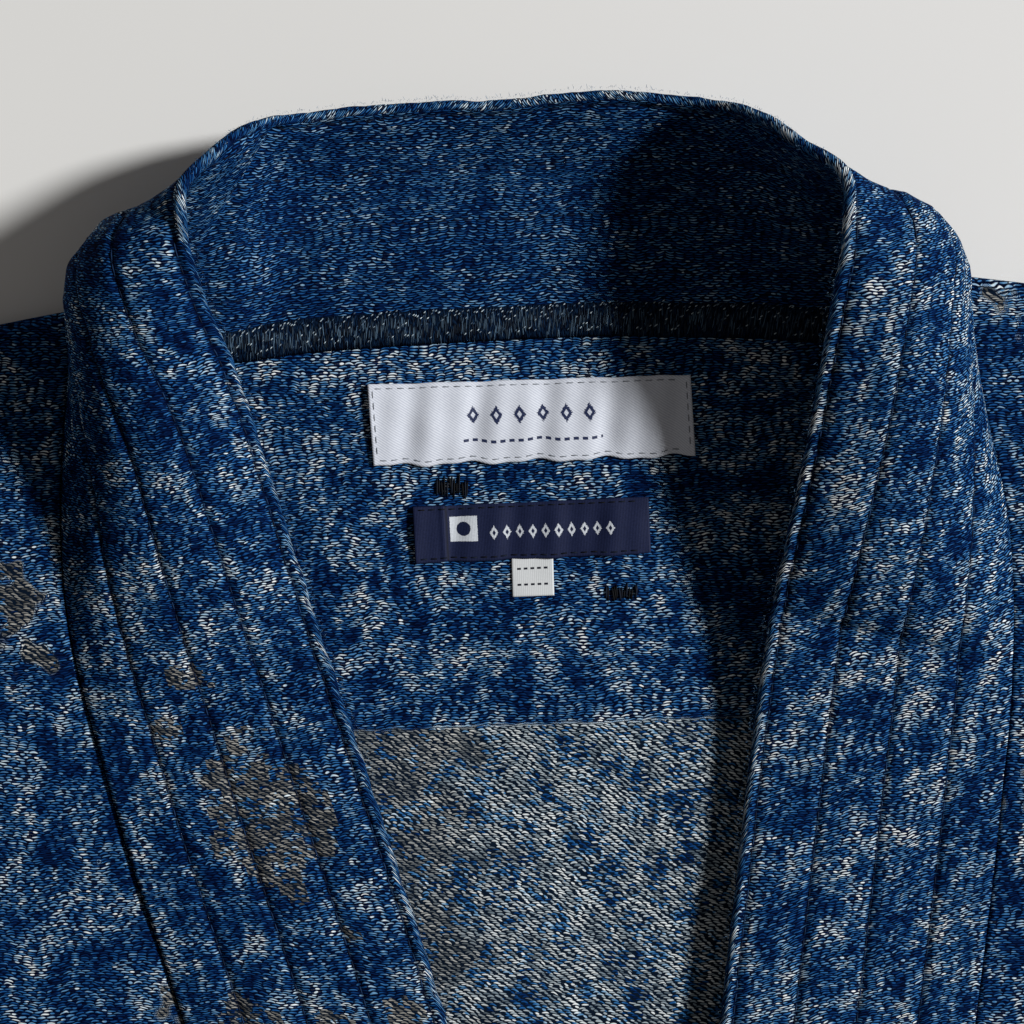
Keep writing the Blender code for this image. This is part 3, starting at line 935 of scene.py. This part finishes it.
# One front from the band's seam out to the side edge, turned round the shoulder.
def frontPiece(name, side, material):
    hem, neck = (0, leftNeck) if side < 0 else (len(rails) - 1, rightNeck)
    marks = np.linspace(hem, neck, upper["rows"]).round().astype(int)
    seam = rails[marks, :3]
    lengths = railLength[marks]
    run = unit(np.gradient(seam[:, :2], axis=0))
    away = np.stack((run[:, 1], -run[:, 0]), axis=1) * side
    clear = upper["clear"] + upper["clearRise"] * np.abs(bandRise(lengths))
    clear[-1] += upper["neckClear"]
    innerX = seam[:, 0] + away[:, 0] * clear
    innerY = seam[:, 1] + away[:, 1] * clear
    sideX = shoulder["sideX"]
    outerTop = shoulderY(sideX)
    outerY = hemY + (seam[:, 1] - hemY) / (shoulder["neckY"] - hemY) * (outerTop - hemY)
    arm = int(np.argmax(outerY > upper["underarmY"]))
    outerY[arm], outerY[arm - 1] = upper["underarmY"] + 0.5, upper["underarmY"] - 1.5
    belowArm = np.arange(len(seam)) < arm
    flatX = np.where(belowArm, sideX, sideX - upper["armTuck"])
    u = np.linspace(0, 1, upper["columns"]) ** upper["crowding"]
    x = innerX[:, None] + u * (side * flatX - innerX)[:, None]
    y = innerY[:, None] + u * (outerY - innerY)[:, None]
    y[-1] = shoulderY(x[-1])
    blend = smoothStep(u * (flatX - np.abs(innerX))[:, None] / upper["seamBlend"])
    z = seam[:, 2:3] * (1 - blend) + (upper["quietZ"] + foldHeight(x, y)) * blend
    body = np.stack((x, y, z), axis=-1)
    edgeColumns = []
    for angle in bend:
        curl = turnedEdge(side * flatX, outerY, z[:, -1], (side, 0), angle)
        flatReach = upper["armReach"] * angle / math.pi
        flat = np.stack((side * (flatX + flatReach), outerY, z[:, -1]), axis=-1)
        flat[-1, 1] = shoulderY(flat[-1, 0])
        edgeColumns.append(np.where(belowArm[:, None], curl, flat))
    body = np.concatenate((body, np.stack(edgeColumns, axis=1)), axis=1)
    top = body[-1]
    over = [turnedEdge(top[:, 0], top[:, 1], top[:, 2], (0, 1), angle) for angle in bend]
    points = np.concatenate((body, np.stack(over)))
    cloth = points[..., :2].copy()
    for k, angle in enumerate(bend):
        taken = upper["bendReach"] * angle
        cloth[k - bendSteps, :, 1] = top[:, 1] + taken
        cloth[:len(body), len(u) + k, 0] = side * (flatX + taken)
    if side < 0:
        points, cloth = points[:, ::-1], cloth[:, ::-1]
    piece = gridPiece(name, points, cloth, material)
    thicken(piece, 2 * upper["half"] * mm)
    return piece


def bandRise(lengths):
    start = bandMiddle(lengths, np.array([0.0, 3.0]))
    return unit(start[:, 1] - start[:, 0])[:, 2]


sleeve = dict(
    length=338.0,
    cuffDepth=190.0,
    depth=210.0,           # of the tube on the table, for its cloth coordinates
    fold=4.7,              # and what each folded edge adds
    rings=90,
    below=24,              # places across the lower and the upper layer
    above=56,
)


def sleevePiece(name, side, material):
    startX = shoulder["sideX"] + 0.15
    tilt = math.atan(shoulder["slope"])
    endX = startX + sleeve["length"] * math.cos(tilt)
    topStart = np.array((startX, shoulderY(startX)))
    lowStart = np.array((startX, upper["underarmY"] + 6))
    topEnd = np.array((endX, shoulderY(endX)))
    lowEnd = topEnd - sleeve["cuffDepth"] * np.array((math.sin(tilt), math.cos(tilt)))
    t = np.linspace(0, 1, sleeve["rings"])[:, None]
    top = topStart + t * (topEnd - topStart)
    low = lowStart + t * (lowEnd - lowStart)
    depth, fold, bendReach = sleeve["depth"], sleeve["fold"], upper["bendReach"]
    columns, around = [], []

    def place(share):
        x, y = (top + share * (low - top)).T
        return side * x, y

    for share in np.linspace(0, 1, sleeve["below"]):
        x, y = place(1 - share)
        columns.append(np.stack((x, y, np.full_like(x, upper["half"])), axis=-1))
        around.append(share * depth)
    x, y = place(0.0)
    z = upper["quietZ"] + foldHeight(x, y)
    for angle in bend[:-1]:
        columns.append(turnedEdge(x, y, z, (0, 1), math.pi - angle))
        around.append(depth + bendReach * angle)
    for share in np.linspace(0, 1, sleeve["above"]):
        x, y = place(share)
        columns.append(np.stack((x, y, upper["quietZ"] + foldHeight(x, y)), axis=-1))
        around.append(depth + fold + share * depth)
    z = columns[-1][:, 2]
    for angle in bend[:-1]:
        columns.append(turnedEdge(x, y, z, (0, -1), angle))
        around.append(2 * depth + fold + bendReach * angle)
    columns.append(columns[0])
    around.append(2 * depth + 2 * fold)
    points = np.stack(columns, axis=1)
    lengthwise = t[:, 0] * sleeve["length"]
    cloth = np.stack(np.meshgrid(around, lengthwise, indexing="xy"), axis=-1)
    if side > 0:
        points, cloth = points[:, ::-1], cloth[:, ::-1]
    piece = gridPiece(name, points, cloth, material, closed=True)
    thicken(piece, 2 * upper["half"] * mm)
    return piece


# Labels, sewn on by stitches along their edges.  Corners are left and right, top then bottom;
# a wave has a height, a count, a start and a slant.

labels = {
    "label_main": dict(
        piece="mainLabel",
        top=((-36.8, -8.3), (40.5, -8.8)),
        bottom=((-36.1, -27.8), (40.9, -28.1)),
        columns=150, rows=36, clear=0.55, droop=0.62,
        waves=((0.34, 4.6, 1.1, 1.6), (0.20, 9.7, 2.0, 2.6)),
        stitches=dict(inset=1.1, pitch=2.7, stitch=2.0, radius=0.13, edges="tblr"),
    ),
    "label_origin": dict(
        piece="originLabel",
        top=((-27.2, -37.9), (29.3, -37.6)),
        bottom=((-27.0, -51.4), (29.4, -51.2)),
        columns=120, rows=28, clear=0.50, droop=0.25,
        waves=((0.30, 3.6, 0.4, 0.9), (0.15, 8.3, 1.0, 1.6)),
        stitches=dict(inset=0.9, pitch=2.4, stitch=1.9, radius=0.16, edges="tb"),
        fold=0.127, foldRise=0.40,
    ),
    "label_tab": dict(
        piece="tapeTab",
        top=((-4.0, -49.9), (6.0, -49.7)),
        bottom=((-4.1, -60.3), (5.9, -60.3)),
        columns=24, rows=24, clear=0.16, droop=0.05,
        waves=((0.05, 1.0, 0.3, 0.5),),
    ),
}


def labelSize(look):
    (left, top), (right, _) = look["top"]
    return right - left, top - look["bottom"][0][1]


# A point of a label in mm; u runs from its left end, v from its top edge.
def labelPoint(look, u, v, lift=0.0):
    (left, right), (lowLeft, lowRight) = look["top"], look["bottom"]
    top = [left[k] + u * (right[k] - left[k]) for k in (0, 1)]
    low = [lowLeft[k] + u * (lowRight[k] - lowLeft[k]) for k in (0, 1)]
    x = top[0] + v * (low[0] - top[0])
    y = top[1] + v * (low[1] - top[1])
    z = backLevel(x, y, 3.0) + back["half"] + look["clear"]
    # between the sewn edges the ribbon stands up in waves, and its lower edge follows them
    slack = np.sin(math.pi * (0.12 + 0.76 * v)) ** 0.5
    for height, count, start, slant in look["waves"]:
        wave = np.sin(math.tau * (count * u) + start + slant * v)
        z = z + height * (wave + 0.6) * slack
        y = y - height * look["droop"] * 2.2 * wave * (v - 0.15)
    if "fold" in look:
        z = z + look["foldRise"] * np.exp(-((u - look["fold"]) / 0.012) ** 2)
    return np.stack((x, y, z + lift), axis=-1)


def labelPiece(look, material):
    across, down = np.linspace(0, 1, look["columns"] + 1), np.linspace(0, 1, look["rows"] + 1)
    u, v = np.meshgrid(across, down)
    wide, high = labelSize(look)
    cloth = np.stack(((u - 0.5) * wide, (0.5 - v) * high), axis=-1)
    piece = gridPiece(look["piece"], labelPoint(look, u, v), cloth, material)
    thicken(piece, 0.35 * mm)
    return piece


# Stitches round a label, inset from its edges: top, bottom, left and right.
def labelStitches(look, material):
    wide, high = labelSize(look)
    sewn = look["stitches"]
    inset, pitch = sewn["inset"], sewn["pitch"]
    share = np.array((-0.5, -0.35, 0.0, 0.35, 0.5)) * sewn["stitch"]
    sink = np.array((-0.22, 0.0, 0.06, 0.0, -0.22))
    paths = []
    for edge in sewn["edges"]:
        level = edge in "tb"
        length, other = (wide, high) if level else (high, wide)
        middles = np.arange(inset + pitch / 2, length - inset - pitch / 3, pitch)
        run = (middles[:, None] + share) / length
        rest = np.full_like(run, inset / other if edge in "tl" else 1 - inset / other)
        points = labelPoint(look, run, rest, 0.18) if level else labelPoint(look, rest, run, 0.18)
        points[..., 2] += sink
        paths.append(points)
    name = look["piece"] + "Stitches"
    return threadPiece(name, np.concatenate(paths), sewn["radius"], material)


# Marks woven into the labels: plain diamonds and dashes, in mm.
satinMarks = dict(
    pitch=5.6, span=16.8, half=(1.55, 2.3), hollow=0.42, rise=1.6, soft=0.08, lineRise=-4.6, dash=2.2,
)
wovenMarks = dict(pitch=3.1, span=15.5, half=(1.05, 1.75), hollow=0.45, place=(4.9, -0.2), soft=0.10)
flag = dict(place=(-16.3, 1.0), half=(3.35, 3.05), disc=1.75, fold=-20.4)    # on the navy label
tabMarks = dict(pitch=1.6, half=3.9, middle=-0.5, apart=1.9)


# A row of hollow diamonds, and where along the label the row runs.
def diamonds(look, x, y, fray):
    cell = ((x + look["span"]) / look["pitch"]).part() - 0.5
    within = 1.0 - (x.size() / look["span"] - 1.0).over(0.0)
    a = cell.size() * look["pitch"] / look["half"][0]
    b = y.size() / look["half"][1]
    whole = (1.0 - a - b + fray).step(0.0, look["soft"])
    hollow = (look["hollow"] - a - b).step(0.0, look["soft"])
    return (whole - hollow) * within, within


# A little unevenness at the edges of what is woven in, cell by cell.
def fraying(f, cells, size):
    return (f.chance(f.join((f.x * cells).floor(), (f.y * cells).floor())) - 0.5) * size


def crossRibs(f, along, across):
    rib = (f.y * along).maths("SINE") * 0.5 + 0.5
    return rib * ((f.x * across).maths("SINE") * 0.5 + 0.5)


def satinFinish():
    f = Finish("labelSatin")
    ribs = ((f.x + f.y * 1.4) * 6.6).maths("SINE") * 0.5 + 0.5
    grain = f.clouds(f.join(f.x, f.y), 1.3, 2.0)
    base = f.blend(ribs * 0.62 + grain * 0.35, (0.470, 0.500, 0.590), (0.760, 0.795, 0.855))
    look = satinMarks
    marks, within = diamonds(look, f.x, f.y - look["rise"], fraying(f, 4.0, 0.25))
    dashes = (f.x / look["dash"]).part().over(0.42) * within
    line = (0.42 - (f.y - look["lineRise"]).size()).step(0.0, 0.12) * dashes
    ink = marks.most(line)
    colour = f.blend(ink, base, f.blend(ribs, (0.010, 0.016, 0.055), (0.022, 0.034, 0.095)))
    return f.wear(colour, 0.45, 0.35, ribs + ink * 0.6, 0.00006, 0.30)


def wovenFinish():
    f = Finish("labelWoven")
    ribs = crossRibs(f, 26.0, 17.0)
    grain = f.clouds(f.join(f.x, f.y), 2.2, 2.0)
    base = f.blend(ribs * 0.6 + grain * 0.5, (0.0022, 0.0042, 0.0190), (0.0170, 0.0250, 0.0780))
    fray = fraying(f, 5.0, 0.22)
    # a small flag: a white field with a disc
    x, y = f.x - flag["place"][0], f.y - flag["place"][1]
    away = (x.size() / flag["half"][0]).most(y.size() / flag["half"][1])
    field = (1.0 - away + fray * 0.2).step(0.0, 0.03)
    disc = (1.0 - (x * x + y * y) ** 0.5 / flag["disc"] + fray * 0.3).step(0.0, 0.06)
    white = field * (1.0 - disc)
    look = wovenMarks
    marks, _ = diamonds(look, f.x - look["place"][0], f.y - look["place"][1], fray)
    pale = f.blend(grain * 0.5 + ribs * 0.5, (0.40, 0.43, 0.48), (0.78, 0.82, 0.86))
    colour = f.blend(white.most(marks), base, pale)
    # painted shade in the crease of the folded left end
    fold = (1.0 - ((f.x - flag["fold"]) / 0.45).size()).step(0.0, 1.0) * 0.8
    colour = f.blend(fold, colour, (0.0010, 0.0015, 0.0050))
    return f.wear(colour, 0.62, 0.12, ribs + white * 0.6 + marks * 0.6, 0.00008, 0.40)


def tapeFinish():
    f = Finish("tapeWhite")
    ribs = crossRibs(f, 20.0, 14.0)
    grain = f.clouds(f.join(f.x, f.y), 2.0, 2.0)
    base = f.blend(ribs * 0.5 + grain * 0.4, (0.56, 0.58, 0.59), (0.74, 0.76, 0.77))
    # two rows of short dark dashes
    look = tabMarks
    dash = (f.x / look["pitch"] + 0.75).part().over(0.42) * (1.0 - f.x.size().over(look["half"]))
    rule = (0.30 - ((f.y - look["middle"]).size() - look["apart"]).size()).step(0.0, 0.10)
    colour = f.blend(dash * rule, base, (0.010, 0.012, 0.022))
    return f.wear(colour, 0.7, 0.15, ribs, 0.00008, 0.35)


# Two small darns of black thread on the back, in mm.
darns = (
    dict(left=-21.5, top=-30.5, right=-13.4, bottom=-36.5, count=13),
    dict(left=18.1, top=-58.3, right=26.3, bottom=-62.3, count=13),
)
darnRadius = 0.21


def darnThreads(material):
    dice = random.Random(61)
    paths = []
    for darn in darns:
        middle = (darn["top"] + darn["bottom"]) / 2
        half = (darn["top"] - darn["bottom"]) / 2
        for k in range(darn["count"]):
            x = darn["left"] + (k + 0.5) / darn["count"] * (darn["right"] - darn["left"])
            reach = half * dice.uniform(0.45, 1.0)
            y = middle + dice.uniform(-0.25, 0.25) * half + np.linspace(reach, -reach, 7)
            xs = x + dice.uniform(-0.2, 0.2) + np.linspace(0, dice.uniform(-0.5, 0.5), 7)
            arch = 0.14 + 0.25 * np.cos(np.linspace(-1.9, 1.9, 7))
            z = backLevel(xs, y, 3.0) + back["half"] + arch
            paths.append(np.stack((xs, y, z), axis=-1))
    return threadPiece("darnThreads", np.array(paths), darnRadius, material)


# Loose fibres along the folded edge of the band

fuzz = dict(count=3600, reach=300, shortest=0.22, longer=0.8, radius=0.045)


def edgeFuzz(material):
    dice = random.Random(71)
    reach = fuzz["reach"]
    lengths = np.sort([dice.uniform(-reach, reach) for _ in range(fuzz["count"])])
    edge = band["width"] - 0.2
    outer = bandFace(lengths, edge - 1.3, 0)
    inner = bandFace(lengths, edge - 1.3, 1)
    middle = (outer + inner) / 2
    beyond = bandMiddle(lengths, np.array((edge - 3.0, edge)))
    out = unit(beyond[:, 1] - beyond[:, 0])
    paths = []
    for k in range(len(lengths)):
        turn = dice.uniform(-0.2, math.pi + 0.2)
        across = unit(outer[k] - inner[k])
        way = math.cos(turn) * across + math.sin(turn) * out[k]
        root = middle[k] + out[k] * 1.3 + way * 1.15
        along = np.array([dice.uniform(-1, 1) for _ in range(3)])
        length = fuzz["shortest"] + fuzz["longer"] * dice.random() ** 3
        curl = np.array([dice.uniform(-1, 1) for _ in range(3)])
        t = np.linspace(0, 1, 4)[:, None]
        paths.append(root + t * length * unit(way + 0.55 * along) + t * t * length * 0.5 * curl)
    return threadPiece("edgeFuzz", np.array(paths), fuzz["radius"], material, sides=3)


# Stage

stage = dict(
    # the floor colours carry painted light: darker on the left, lighter towards the key on the right
    floorShadedLeft=(0.715, 0.710, 0.690),
    floorLitRight=(0.795, 0.790, 0.775),
    sunHeight=36.0,        # degrees above the floor
    sunTurn=9.0,           # degrees from +X towards the neck
    sunSpread=9.0,
    sunPower=4.25,
    fill=0.12,
    fillColour=(1.0, 0.95, 0.92, 1),
    floorSize=6.0,         # m each way
    cameraHeight=760.0,
    mmPerPixel=0.24,
    imageSide=1024,
    cameraX=-3.44,
    cameraY=-40.0,
    cameraTurn=-2.2,       # degrees
)


def makeStage():
    model = bmesh.new()
    bmesh.ops.create_grid(model, x_segments=1, y_segments=1, size=stage["floorSize"])
    mesh = bpy.data.meshes.new("floor")
    model.to_mesh(mesh)
    model.free()
    floor = bpy.data.objects.new("floor", mesh)
    bpy.context.scene.collection.objects.link(floor)
    f = Finish("floorPaper", uv=None)
    side = f.x.step(-0.16, 0.16)        # painted light: the floor is a little darker and warmer on the left and lighter on the right, towards the key light
    mottle = f.clouds(f.join(f.x, f.y), 9.0, 3.0) - 0.5
    shades = f.blend(side + mottle * 0.2, stage["floorShadedLeft"], stage["floorLitRight"])
    mesh.materials.append(f.wear(shades, 0.9))
    sun = bpy.data.lights.new("key", "SUN")
    sun.energy = stage["sunPower"]
    sun.angle = math.radians(stage["sunSpread"])
    key = bpy.data.objects.new("key", sun)
    lean, turn = math.radians(90 - stage["sunHeight"]), math.radians(stage["sunTurn"])
    key.rotation_euler = (0, lean, turn)
    bpy.context.scene.collection.objects.link(key)
    world = bpy.data.worlds.new("studio")
    world.use_nodes = True
    sky = world.node_tree.nodes["Background"]
    sky.inputs["Color"].default_value = stage["fillColour"]
    sky.inputs["Strength"].default_value = stage["fill"]
    bpy.context.scene.world = world
    bpy.context.scene.view_settings.view_transform = "Standard"
    lens = bpy.data.cameras.new("camera")
    lens.sensor_fit = "HORIZONTAL"
    spanMm = stage["mmPerPixel"] * stage["imageSide"]
    lens.angle = 2 * math.atan(spanMm / 2 / stage["cameraHeight"])
    camera = bpy.data.objects.new("camera", lens)
    camera.location = row((stage["cameraX"], stage["cameraY"], stage["cameraHeight"]))
    camera.rotation_euler = (0, 0, math.radians(stage["cameraTurn"]))
    bpy.context.scene.collection.objects.link(camera)
    bpy.context.scene.camera = camera


# Hands a piece over: it rides the one body, and may stand for a node of the model.
def settle(piece, node=None):
    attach(piece, "root")
    if node:
        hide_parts(node)
    return piece


makeStage()
print("stage ready")

# The threads' shades run from the first colour to the second.
navyThread = threadFinish("threadNavy", (0.0012, 0.0050, 0.0180), (0.0080, 0.0330, 0.1000))
blackThread = threadFinish("threadBlack", (0.0008, 0.0010, 0.0018), (0.0060, 0.0110, 0.0240))
greyThread = threadFinish("threadGrey", (0.20, 0.22, 0.25), (0.34, 0.36, 0.40))
seamThread = threadFinish("threadOverlock", (0.0010, 0.0030, 0.0100), (0.085, 0.150, 0.225))
knotThread = threadFinish("threadKnots", (0.02, 0.05, 0.10), (0.55, 0.66, 0.72))
fibre = threadFinish("fibre", (0.02, 0.06, 0.14), (0.20, 0.33, 0.47))

bandPiece = settle(makeBand(bandFinish()), "collar_band")
settle(bandStitches(navyThread))
settle(edgeFuzz(fibre))
print("collar band ready")

backPiece = settle(makeBack(backFinish()), "back")
settle(darnThreads(blackThread))
settle(overlockRidge(overlockFinish()))
settle(overlockThreads(seamThread))
settle(overlockKnots(knotThread))
print("back ready")

for side, name, node, area in (
    (-1, "frontLeft", "front_left", 0.158),
    (1, "frontRight", "front_right", 0.142),
):
    piece = frontPiece(name, side, plainFinish(name + "Jacquard"))
    settle(piece, node)
print("fronts ready")

for side, name, node in ((-1, "sleeveLeft", "sleeve_left"), (1, "sleeveRight", "sleeve_right")):
    piece = sleevePiece(name, side, plainFinish(name + "Jacquard"))
    settle(piece, node)
print("sleeves ready")

for node, slot, finish in (
    ("label_main", "label_satin", satinFinish()),
    ("label_origin", "label_woven", wovenFinish()),
    ("label_tab", "tape_white", tapeFinish()),
):
    look = labels[node]
    piece = settle(labelPiece(look, finish), node)
    wide, high = labelSize(look)
    wide * mm
    high * mm
settle(labelStitches(labels["label_main"], greyThread))
settle(labelStitches(labels["label_origin"], blackThread))
print("labels ready")
